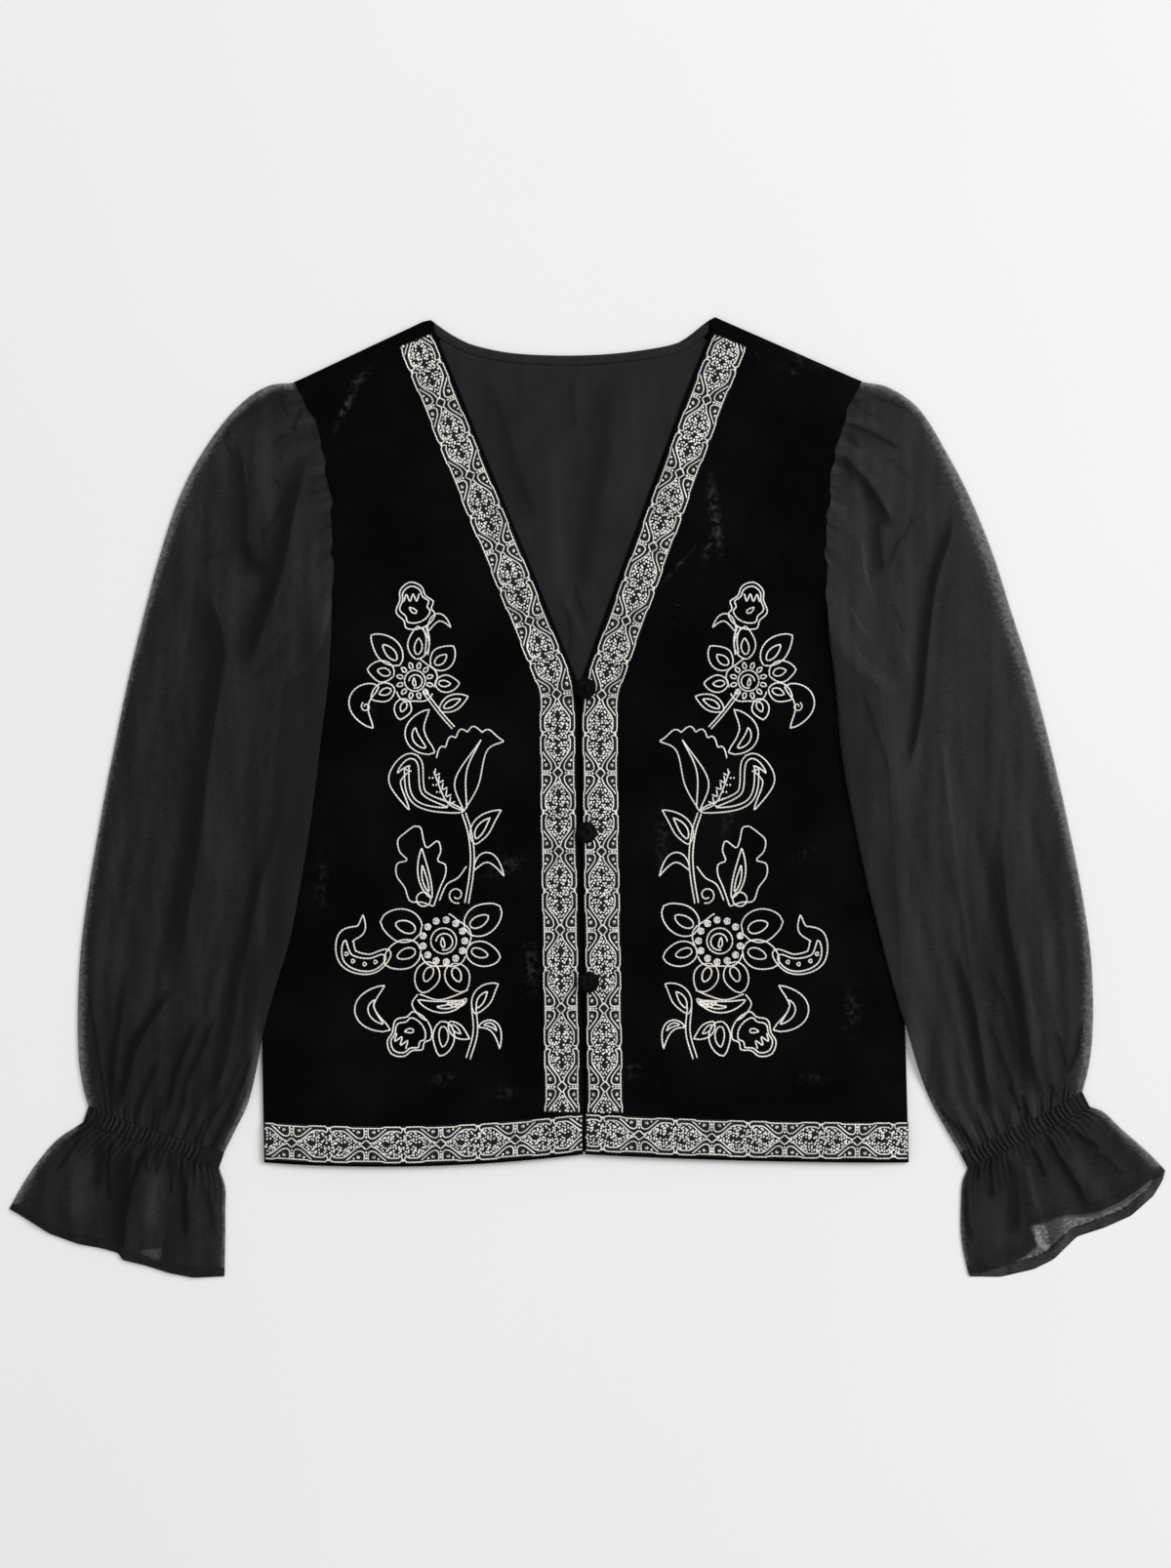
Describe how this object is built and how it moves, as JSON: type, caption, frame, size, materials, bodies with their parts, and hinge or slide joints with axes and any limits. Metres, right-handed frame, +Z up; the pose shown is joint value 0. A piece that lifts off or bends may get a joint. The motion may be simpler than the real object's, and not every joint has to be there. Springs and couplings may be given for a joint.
{
  "type": "velvet blouse",
  "caption": "Velvet blouse laid flat and face up, with a V neck, embroidered ribbon along its front edges and hem, and sheer gathered sleeves with elasticated ruffle cuffs.",
  "frame": {"origin": "on the ground under the middle of the blouse's bounding box, as it lies", "axes": "+Z up from the ground, +Y from the hem towards the neck, +X towards the wearer's left"},
  "size_m": [0.806, 0.6694, 0.0122],
  "materials": {
    "velvet": "black short-pile velvet, soft sheen, lighter where the pile is crushed, embroidered in pale silver thread",
    "sheer": "sheer black plain-weave organza or chiffon, greyer where it is one layer",
    "lining": "charcoal woven lining, slight sheen",
    "ribbon": "black ribbon closely embroidered in silver thread",
    "button": "velvet-covered domed button"
  },
  "bodies": {
    "root": {"back": "velvet", "right_front": "velvet", "left_front": "velvet", "back_neck_facing": "lining", "back_lining": "lining", "right_sleeve": "sheer", "left_sleeve": "sheer", "right_casing": "sheer", "left_casing": "sheer", "right_cuff_ruffle": "sheer", "left_cuff_ruffle": "sheer", "right_edge_ribbon": "ribbon", "left_edge_ribbon": "ribbon", "right_hem_ribbon": "ribbon", "left_hem_ribbon": "ribbon", "button_1": "button", "button_2": "button", "button_3": "button"}
  },
  "joints": []
}
